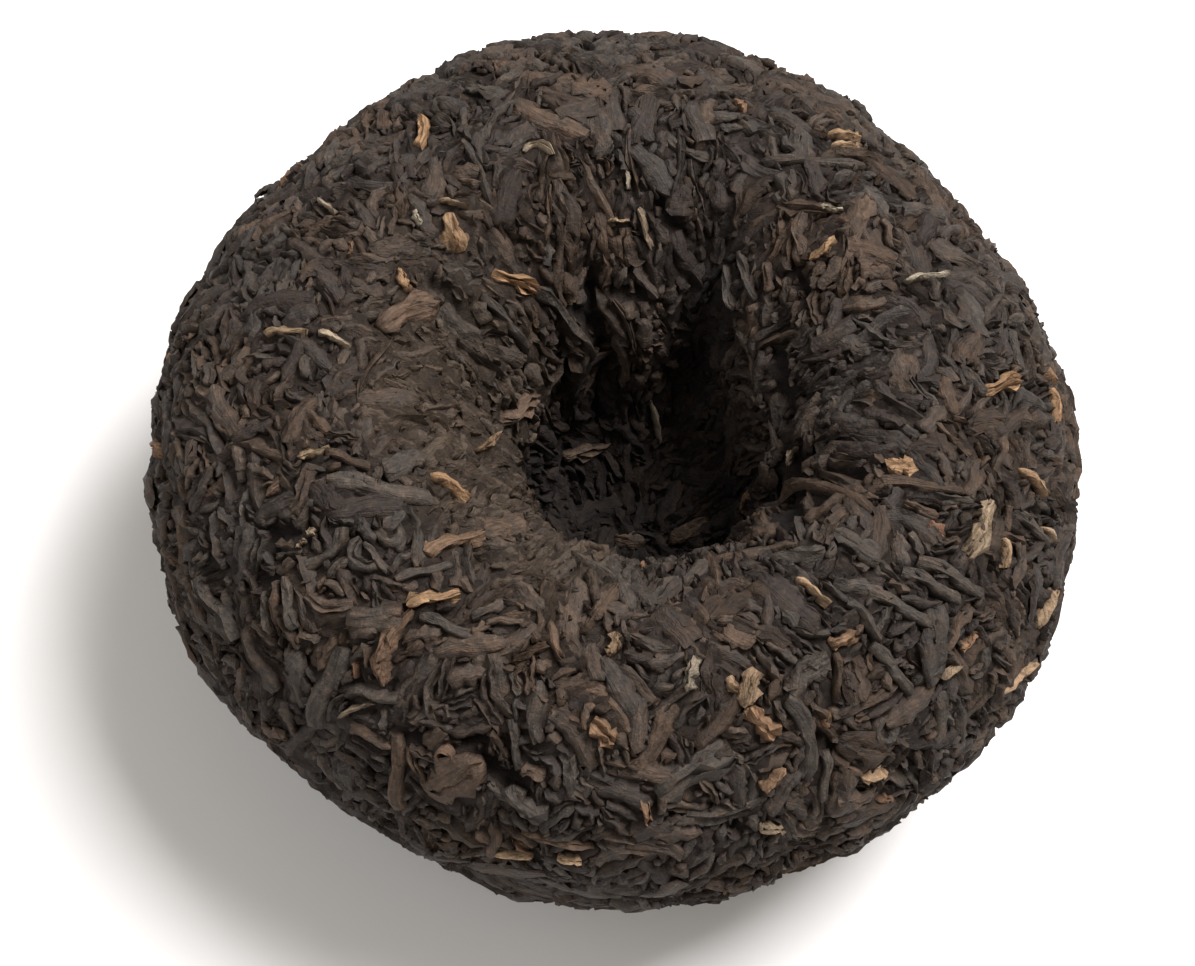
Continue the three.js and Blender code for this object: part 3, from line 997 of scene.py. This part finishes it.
# The kinds of leaf, in the order they are packed. Lengths, widest, thickness, top, spread, lean, press level
# and crumple (depth and size) are in millimetres.
lying = {
    "overlap": 0.12,
    "widest": 2.9,
    "tones": (0.35, 0.9),
    "creaseLoss": 0.9,
    "thickness": (0.9, 1.3),
    "top": 0.6,
    "spread": 0.2,
    "lean": (0.35, 0.5, 0.0),
    "press": 0.66,
    "crumple": (0.95, 1.05),
}
kinds = {
    "golden": dict(lying, family="fibre", seed=18, rounds=1, tries=30, length=(1.2, 2.8), tones=(0.0, 0.3),
                   dustLoss=0.5, material=goldenLeaf),
    "broad": dict(lying, family="flake", seed=10, rounds=1, tries=330, length=(2.6, 5.0), dustLoss=0.5,
                  widest=3.4, thickness=(0.7, 1.0), crumple=(1.2, 1.1)),
    "combed": dict(lying, family="needle", seed=15, rounds=2, tries=1500, length=(4, 8), dustLoss=0.65,
                   funnelOnly=True, overlap=0.22, spread=0.25),
    "rolled": dict(lying, family="strip", seed=11, rounds=2, tries=700, length=(4.2, 7.4), dustLoss=0.9,
                   overlap=0.2),
    "hooked": dict(lying, family="hook", seed=16, rounds=1, tries=500, length=(2.0, 3.6), dustLoss=0.9),
    "folded": dict(lying, family="strip", seed=12, rounds=4, tries=2600, length=(2.6, 4.8), dustLoss=0.8,
                   overlap=0.24),
    "broken": dict(lying, family="bit", seed=13, rounds=8, tries=6000, length=(1.5, 2.9), dustLoss=0.5,
                   overlap=0.26, thickness=(0.6, 1.0), top=0.5, spread=0.18, lean=(0.45, 0.6, 0.0)),
    "small": dict(lying, family="bit", seed=14, rounds=5, tries=8000, length=(0.9, 1.7), overlap=0.32,
                  thickness=(0.45, 0.8), top=0.42, spread=0.2, lean=(0.45, 0.5, 0.0), crumple=(0.6, 0.9),
                  tones=(0.3, 0.85)),
    "crumb": dict(lying, family="crumb", seed=17, rounds=2, tries=6000, length=(0.5, 0.95), overlap=0.4,
                  thickness=(0.4, 0.7), top=0.28, spread=0.25, lean=(0.3, 0.3, 0.0), crumple=(0.5, 0.6),
                  tones=(0.12, 0.8)),
    "crossing": dict(lying, family="strip", seed=19, rounds=1, tries=260, length=(2.4, 5.5), dustLoss=0.9,
                     overlap=0.02, onTop=True, thickness=(0.5, 0.75), top=0.9, spread=0.12, press=1.0),
}
colouring = {
    "seedStep": 100,  # from the seed that packs a kind to the one that colours it
    "patchSize": 14.0,
    "patchSeed": 8,
    "patchWarmth": 0.6,
    "patchSpread": (0.2, 1.6),
    "warmShare": 0.1,  # of leaves that are brown wherever they lie
    "warmRange": (0.5, 1),
    "dustDepth": (0.35, 1.0),
    "darkShare": 0.14,  # of leaves that are nearly black
    "darkLoss": 0.6,
    # painted shade over the walls of the hollow, as a loss of tone
    "paintedFunnelShade": 0.12,
    "paintedDeepShade": 0.93,  # of tone, down in the hollow and in its creases: painted shade
    "deepStart": 2.0,  # before the throat
    "deepRun": 8.0,
    "deepCrease": 1.5,
    "nearWall": 245,  # azimuth where the hollow's painted shade begins first, and by how many millimetres higher
    "nearDeep": 2.5,
    "dustSink": 0.22,  # how far leaves are sunk in the dust, in millimetres
}


# Painted shade: the share by which leaf tone darkens down in the hollow and its creases, starting higher on
# the near wall
def paintedShadeShare(distance, azimuth):
    nearWall = np.maximum(np.cos(azimuth - math.radians(colouring["nearWall"])), 0)
    start = throatAt - colouring["deepStart"] - colouring["nearDeep"] * nearWall
    inCrease = np.minimum(creaseDepth(distance, azimuth) / colouring["deepCrease"], 1)
    return np.maximum(smoothStep(0, colouring["deepRun"], distance - start), inCrease)


def dressLeaves(leaves, kind):
    # Gives leaves their thickness and how they lie, and their tone, warmth and dust where those aren't set.
    # The tone takes painted shade deep in the hollow, in its creases, over the hollow's walls and in the
    # gaps; the dust is partly painted light.
    rng = np.random.default_rng(kind["seed"] + colouring["seedStep"])
    place = (leaves["distance"], leaves["azimuth"])
    count = len(leaves["distance"])
    leaves["thickness"] = rng.uniform(*kind["thickness"], count)
    leaves["lift"] = kind["top"] - leaves["thickness"] + rng.normal(0, kind["spread"], count)
    leaves["lean"] = rng.normal(0, 1, (count, 3)) * kind["lean"]
    # painted shade: tone lowered deep in the hollow, in its creases, on the near wall and over the hollow's
    # walls
    tone = rng.uniform(*kind["tones"], count) * (1 - colouring["paintedDeepShade"] * paintedShadeShare(*place))
    tone *= 1 - colouring["paintedFunnelShade"] * inFunnel(leaves["distance"])
    tone *= np.where(rng.uniform(0, 1, count) < colouring["darkShare"], 1 - colouring["darkLoss"], 1)
    points = cakePoint(*place, 0)
    gap = gapShare(points) * kind.get("gapShare", 1)
    leaves["lift"] -= gapLook["sink"] * gap
    # painted shade: tone lowered in the gaps
    leaves.setdefault("tone", tone * np.maximum(1 - gapLook["paintedGapShadeLoss"] * gap, 0))
    wave = wavePattern(points, colouring["patchSize"], colouring["patchSeed"])
    patch = colouring["patchWarmth"] * (0.5 + 0.5 * wave)
    brown = rng.uniform(0, 1, count) < colouring["warmShare"]
    warm = rng.uniform(*colouring["warmRange"], count)
    mild = patch * rng.uniform(*colouring["patchSpread"], count)
    leaves["warmth"] = np.clip(np.where(brown, warm, mild), 0, 1)
    # dust on the left and near walls of the hollow, partly painted light
    dustAndPaintedLightHere = dustAndPaintedLightOn(*place) * kind.get("dustAndPaintedLightShare", 1)
    leaves.setdefault("dust", dustAndPaintedLightHere * rng.uniform(*colouring["dustDepth"], count))
    leaves["lift"] -= colouring["dustSink"] * dustAndPaintedLightHere
    return leaves


# Leaves that stand out in the photograph, by colour and shape: pixels of the two ends, width in millimetres,
# tone, which for golden ones goes from orange-brown at 0 through tan to pale straw at 1, and dust on them
def spot(start, end, width, tone, dust=0.12):
    return {"ends": (start, end), "width": width, "tone": tone, "dust": dust}


markedLeaves = {
    "golden_flake": {
        "amberFlake": spot((449, 211), (459, 252), 2.8, 0.42),
        "wedgeBud": spot((992, 500), (967, 556), 2.5, 0.62, 0.45),
        "orangeBlob": spot((889, 469), (920, 466), 2.5, 0.38, 0.2),
        "orangeLump": spot((590, 721), (616, 743), 2.6, 0.15, 0.25),
        "tanFlake": spot((757, 667), (742, 706), 2.2, 0.5, 0.6),
        "orangeFlake": spot((747, 706), (774, 737), 2.8, 0.15, 0.1),
        "pinkBit": spot((726, 674), (734, 690), 1.1, 0.5, 0.25),
        "pinkPatch": spot((830, 645), (857, 630), 1.7, 0.15, 0.35),
        "leftEdge": spot((157, 440), (168, 457), 1.4, 0.2),
        "tanLow": spot((764, 788), (782, 766), 1.5, 0.2, 0.55),
        "orangeStrip": spot((494, 276), (541, 291), 1.9, 0.32, 0.0),
        "rightStrip": spot((985, 390), (1021, 380), 2.0, 0.38, 0.0),
    },
    "golden_fibre": {
        "wallPale": spot((437, 202), (471, 206), 0.9, 0.6, 0.0),
        "wallBit": spot((413, 212), (416, 229), 0.8, 1.0),
        "wallOrange": spot((396, 267), (404, 291), 1.2, 0.4, 0.0),
        "paleStem": spot((262, 333), (306, 330), 1.4, 0.55, 0.0),
        "paleStemEnd": spot((317, 331), (352, 345), 1.2, 0.75, 0.0),
        "leftPale": spot((319, 204), (336, 212), 0.8, 0.85, 0.0),
        "leftBud": spot((296, 458), (328, 448), 1.2, 0.6, 0.0),
        "rightTan": spot((1020, 470), (1046, 495), 1.3, 0.45),
        "rightPale": spot((999, 535), (1003, 566), 0.9, 0.5, 0.2),
        "edgeTan": spot((1048, 390), (1054, 425), 1.3, 0.3),
        "edgeTip": spot((1042, 526), (1049, 542), 0.8, 0.6, 0.0),
        "edgeStem": spot((1033, 629), (1050, 588), 1.5, 0.55, 0.0),
        "edgeLow": spot((997, 690), (1028, 658), 1.6, 0.5, 0.0),
        "palePoint": spot((938, 676), (956, 661), 0.7, 0.6, 0.6),
        "backStem": spot((825, 135), (860, 140), 1.2, 0.45, 0.0),
        "backStemToo": spot((828, 148), (860, 151), 0.9, 0.5),
        "backOrange": spot((812, 258), (840, 240), 1.2, 0.42),
        "backPale": spot((819, 208), (843, 210), 0.9, 0.95),
        "paleStrip": spot((900, 282), (946, 276), 0.8, 0.95, 0.0),
        "farGlint": spot((627, 171), (628, 190), 0.6, 1.0, 0.0),
        "farPink": spot((606, 217), (629, 214), 0.7, 0.55, 0.0),
        "farPale": spot((639, 205), (652, 247), 0.8, 0.65, 0.75),
        "farOrange": spot((733, 100), (747, 112), 1.2, 0.1),
        "fibreStem": spot((405, 605), (459, 592), 1.7, 0.35, 0.45),
        "fibreBranch": spot((412, 605), (379, 657), 2.0, 0.05, 0.75),
        "fibreFoot": spot((386, 640), (383, 685), 2.0, 0.0, 0.7),
        "nearTan": spot((794, 578), (830, 603), 1.2, 0.5),
        "nearBit": spot((789, 461), (797, 449), 0.6, 0.7),
        "lowYellow": spot((495, 851), (533, 853), 1.0, 0.5),
        "lowYellowToo": spot((558, 854), (582, 854), 0.9, 0.5),
        "lowPale": spot((758, 830), (782, 828), 1.0, 0.6, 0.9),
        "lowStrip": spot((641, 798), (649, 823), 1.2, 0.1),
        "lowTan": spot((862, 776), (884, 768), 1.2, 0.45, 0.4),
        "pitStem": spot((652, 395), (655, 440), 0.7, 0.9, 0.0),
        "wallTan": spot((476, 452), (497, 437), 1.1, 0.45, 0.5),
        "leftGold": spot((296, 548), (305, 540), 0.8, 0.6),
        "leftOrange": spot((311, 536), (319, 528), 0.8, 0.7, 0.0),
        "lipTan": spot((427, 474), (466, 501), 1.4, 0.3, 0.1),
        "lipFibre": spot((425, 554), (480, 532), 2.1, 0.15, 0.7),
        "whiteRod": spot((340, 715), (373, 700), 0.8, 0.7, 0.7),
        "paleStripe": spot((697, 660), (689, 696), 1.6, 1.0, 0.85),
        "rimPale": spot((619, 629), (610, 656), 1.4, 0.45, 0.75),
    },
    "golden_hook": {
        "curledBud": spot((420, 114), (419, 147), 1.6, 0.35),
        "paleCurl": spot((522, 146), (557, 148), 1.5, 0.8),
    },
    "golden_ring": {
        "cutStem": spot((436, 753), (456, 753), 1.9, 0.0, 0.7),
    },
    "russet_flake": {
        "rimRusset": spot((420, 792), (481, 767), 4.4, 0.75),
        "redFlake": spot((522, 765), (546, 775), 1.4, 0.65),
        "brownPatch": spot((383, 326), (438, 298), 3.6, 1.0),
        "leftRusset": spot((336, 639), (315, 672), 2.2, 0.7),
        "wallRusset": spot((501, 421), (538, 396), 2.2, 1.0),
        "edgeRusset": spot((294, 165), (307, 172), 1.2, 1.0),
        "pitRusset": spot((670, 545), (706, 520), 2.4, 0.6),
        "pitRussetToo": spot((614, 538), (646, 545), 2.0, 0.6),
        "pitRussetEdge": spot((556, 463), (600, 446), 1.8, 0.7),
    },
    "russet_strip": {
        "rimTan": spot((548, 622), (562, 662), 1.3, 1.0),
        "rightRusset": spot((775, 487), (868, 486), 1.5, 0.65),
        "rightRussetEnd": spot((872, 479), (970, 489), 1.6, 0.6),
        "rightRussetLow": spot((905, 505), (942, 520), 1.2, 0.7),
        "rightRussetIn": spot((805, 522), (843, 497), 1.0, 0.35),
        "rightLeg": spot((836, 650), (838, 701), 1.0, 0.4),
        "lowLong": spot((520, 834), (595, 848), 0.8, 0.9),
        "lowBrown": spot((396, 736), (402, 808), 1.7, 0.7),
        "lowBrownToo": spot((410, 745), (425, 780), 1.2, 0.6),
        "leftBudTail": spot((327, 450), (373, 467), 1.1, 0.5),
    },
    "grey_flake": {
        "leftFlat": spot((380, 472), (421, 453), 3.0, 0.8),
        "leftLow": spot((196, 578), (236, 643), 3.0, 0.75),
        "nearPlate": spot((655, 790), (735, 745), 4.2, 0.75),
        "nearLeft": spot((505, 788), (542, 822), 3.4, 0.7),
        "rightPlate": spot((785, 690), (828, 655), 3.4, 0.9),
        "rightBroad": spot((771, 562), (826, 554), 2.5, 0.8),
        "rightBroadToo": spot((838, 530), (882, 561), 2.5, 0.75),
        "farPlate": spot((782, 172), (784, 206), 3.0, 0.8),
    },
    "grey_strip": {
        "paleRod": spot((366, 541), (392, 570), 0.9, 1.0),
        "leftBroad": spot((322, 478), (432, 497), 2.2, 0.95),
        "leftThin": spot((282, 579), (293, 631), 0.9, 0.95),
        "leftThinToo": spot((265, 589), (275, 631), 0.8, 0.9),
        "midThin": spot((397, 576), (452, 562), 1.1, 0.8),
        "midStrip": spot((420, 615), (472, 636), 1.4, 0.8),
        "lowBroad": spot((342, 646), (316, 728), 2.5, 0.7),
        "lowPlate": spot((342, 690), (398, 697), 1.7, 0.7),
        "nearUpright": spot((537, 678), (537, 743), 2.0, 0.75),
        "nearThin": spot((512, 719), (520, 771), 1.0, 0.7),
        "farLong": spot((759, 161), (866, 163), 1.3, 0.85),
        "creaseTwist": spot((737, 250), (757, 301), 1.0, 0.6),
        "creaseTwistToo": spot((727, 263), (735, 311), 0.9, 0.85),
        "wallRidge": spot((545, 292), (601, 359), 1.1, 0.8),
        "wallRidgeToo": spot((484, 297), (533, 348), 1.2, 0.75),
        "fanFirst": spot((868, 588), (931, 621), 1.6, 0.85),
        "fanSecond": spot((905, 569), (961, 600), 1.7, 0.8),
        "fanThird": spot((850, 599), (882, 641), 1.4, 0.8),
        "fanFourth": spot((925, 559), (991, 599), 1.7, 0.85),
        "fanFifth": spot((870, 641), (911, 690), 1.5, 0.8),
        "rightEdge": spot((1018, 510), (1049, 545), 1.5, 0.85),
        "rightInner": spot((826, 748), (822, 797), 1.2, 0.95),
    },
    "grey_hook": {
        "leftArc": spot((303, 573), (351, 528), 1.9, 0.85),
        "leftLoop": spot((349, 541), (373, 577), 2.3, 0.8),
        "rightCurve": spot((793, 692), (812, 784), 2.6, 0.75),
        "leftCurl": spot((377, 545), (408, 536), 2.6, 0.85),
    },
    "grey_ring": {
        "rightEye": spot((871, 734), (900, 732), 2.4, 0.7),
    },
}
markedFinish = {  # material and warmth
    "golden": (goldenLeaf, 0.0),
    "russet": (pressedLeaf, 1.0),
    "grey": (pressedLeaf, 0.0),
}
standing = dict(lying, seed=21, top=0.95, spread=0.08, lean=(0.15, 0.15, 0.0), press=1.0, crumple=(0.45, 1.2),
                dustAndPaintedLightShare=0.1, gapShare=0)
pieces = []
for name, spots in markedLeaves.items():
    colour, shape = name.split("_")
    material, warmth = markedFinish[colour]
    leaves = dressLeaves(leavesAtPixels(spots.values(), families[shape]), standing)
    leaves["warmth"][:] = warmth
    pieces.append(layLeaves(name, leaves, families[shape], standing, material))

standingCells = taken.copy()  # kept clear of the leaves that lie across others
for kindName, kind in kinds.items():
    leaves = dressLeaves(packKind(kind), kind)
    material = kind.get("material", pressedLeaf)
    pieces.append(layLeaves(f"{kindName}_leaf", leaves, families[kind["family"]], kind, material))
    print(kindName, len(leaves["distance"]), "leaves,", round(float(taken.mean()), 3), "of the bed taken")

# The core of pressed leaf dust that shows down in the gaps, its dark tones painted shade
coreLook = dict(lying, seed=22, rowGap=0.7, columns=260, depth=0.18, roughness=0.22, lumpSize=1.6, lumpSeed=3,
                lumpWaves=40, tones=(0.06, 0.36), height=0.6, restHeight=0.4)


def corePoint(distance, azimuth):
    points = cakePoint(distance, azimuth, 0)
    lumps = wavePattern(points, coreLook["lumpSize"], coreLook["lumpSeed"], coreLook["lumpWaves"])
    sunk = coreLook["depth"] + gapLook["sink"] * gapShare(points)
    return bedPoint(distance, azimuth, coreLook["roughness"] * lumps - sunk)


def layCore():
    points, faces, places = cakeGrid(coreLook["rowGap"], coreLook["columns"], corePoint)
    points[:, 2] = np.maximum(points[:, 2], coreLook["restHeight"])
    points = easedInto(points * mm) / mm
    piece = linkObject("pressed_core", meshFrom("pressed_core", points, faces))
    piece.data.materials.append(pressedLeaf)
    distance, azimuth = np.vstack((places, ((0, 0), (floorAt, 0)))).T
    colours = dressLeaves({"distance": distance, "azimuth": azimuth}, coreLook)
    columns = {
        "leafTone": colours["tone"],
        "leafWarmth": colours["warmth"],
        "leafDust": colours["dust"],
        "leafHeight": np.full(len(points), coreLook["height"]),
        "leafLength": np.ones(len(points)),
    }
    for key, values in columns.items():
        setAttribute(piece.data, key, "FLOAT", values)
    setAttribute(piece.data, "leafPlace", "FLOAT_VECTOR", points)
    return piece


pieces.append(layCore())

for piece in pieces:
    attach(piece, body)
    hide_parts(cakeNode)

bpy.data.objects.remove(leafBed)
for family in families.values():
    for shape in list(family["shapes"].objects):
        bpy.data.objects.remove(shape)
    bpy.data.collections.remove(family["shapes"])

# Floor and light: matt white card, even and pale, and soft light from above, behind and to the right
stage = {
    "floorSize": 3.0,  # in metres
    "floorColours": [(0.2, "#d3d1cd"), (0.8, "#d9d7d4")],
    "clouds": 12.0,  # in a metre
    "cloudDetail": 2.0,
    "roughness": 0.9,
}


def addFloor():
    half = stage["floorSize"] / 2
    corners = [(-half, -half, 0), (half, -half, 0), (half, half, 0), (-half, half, 0)]
    mesh = bpy.data.meshes.new("floor")
    mesh.from_pydata(corners, [], [(0, 1, 2, 3)])
    material, tree = newMaterial("matt white card")
    coordinates = addNode(tree, "ShaderNodeTexCoord").outputs["Object"]
    cloud = addNode(tree, "ShaderNodeTexNoise",
                    {"Vector": coordinates, "Scale": stage["clouds"], "Detail": stage["cloudDetail"]})
    ramp = addNode(tree, "ShaderNodeValToRGB", {"Fac": cloud})
    setRamp(ramp, stage["floorColours"])
    shader = addNode(tree, "ShaderNodeBsdfPrincipled", {"Base Color": ramp, "Roughness": stage["roughness"]})
    addNode(tree, "ShaderNodeOutputMaterial", {"Surface": shader})
    mesh.materials.append(material)
    floor = linkObject("floor", mesh)


lamps = [  # places and sizes in metres
    {"name": "window", "place": (0.24, 0.21, 0.71), "size": 0.36, "watts": 13.3, "colour": "#fbfbff"},
    {"name": "fill", "place": (-0.45, -0.3, 0.5), "size": 0.6, "watts": 2.0, "colour": "#f2f6ff"},
]
roomLight = {"colour": "#faf3e9", "strength": 0.53}


def addLamps():
    for lamp in lamps:
        data = bpy.data.lights.new(lamp["name"], "AREA")
        data.size = lamp["size"]
        data.energy = lamp["watts"]
        data.color = toLinear(lamp["colour"])[:3]
        light = linkObject(lamp["name"], data)
        light.location = lamp["place"]
        light.rotation_euler = Vector(lamp["place"]).to_track_quat("Z", "Y").to_euler()
    world = bpy.data.worlds.new("room")
    world.use_nodes = True
    background = world.node_tree.nodes["Background"]
    background.inputs["Color"].default_value = toLinear(roomLight["colour"])
    background.inputs["Strength"].default_value = roomLight["strength"]
    scene.world = world


addFloor()
addLamps()
scene.view_settings.view_transform = "Standard"

print("pieces:", len(pieces))
